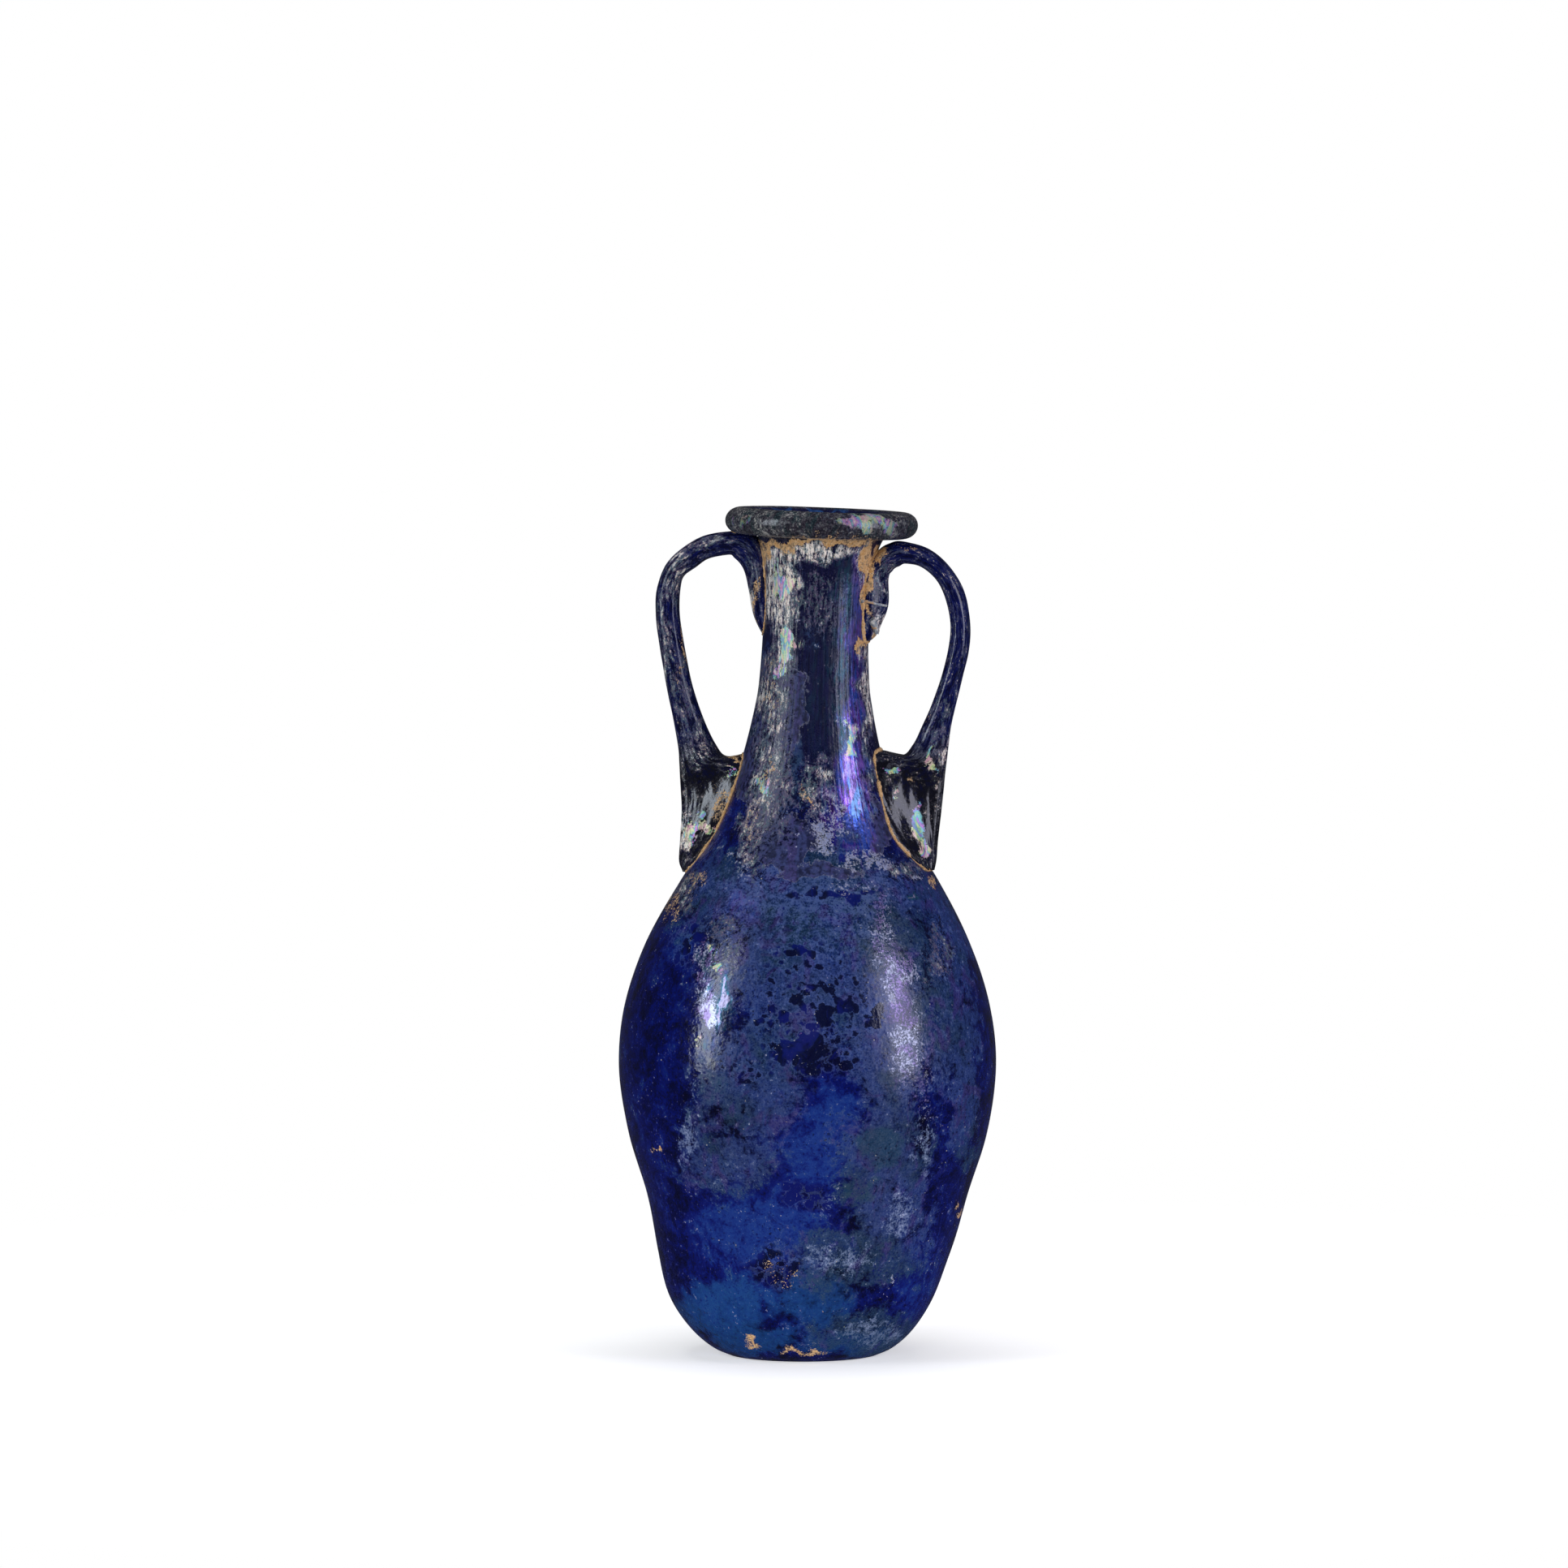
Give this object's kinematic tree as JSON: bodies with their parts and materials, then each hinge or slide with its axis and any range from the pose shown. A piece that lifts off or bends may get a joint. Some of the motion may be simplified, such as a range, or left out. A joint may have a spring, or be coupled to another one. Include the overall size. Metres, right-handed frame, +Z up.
{
  "type": "glass amphora",
  "caption": "Small free-blown glass amphora of deep blue glass: pear-shaped hollow body, tall neck, thick rolled rim and looped handles from neck to shoulder.",
  "frame": {"origin": "on the floor under the middle of the belly, the bottom centre of the bounding box", "axes": "+Z up along the vessel, -Y the front that the picture shows, +X towards the right-hand handle"},
  "size_m": [0.0734, 0.0734, 0.165],
  "materials": {
    "vessel_glass": "deep blue glass under a thin weathered film that shines in patches",
    "left_handle_glass": "dark blue glass with silvery streaks of weathering",
    "right_handle_glass": "glossy dark blue glass with little weathering"
  },
  "bodies": {
    "root": {"vessel": "vessel_glass", "left_handle": "left_handle_glass", "right_handle": "right_handle_glass"}
  },
  "joints": []
}
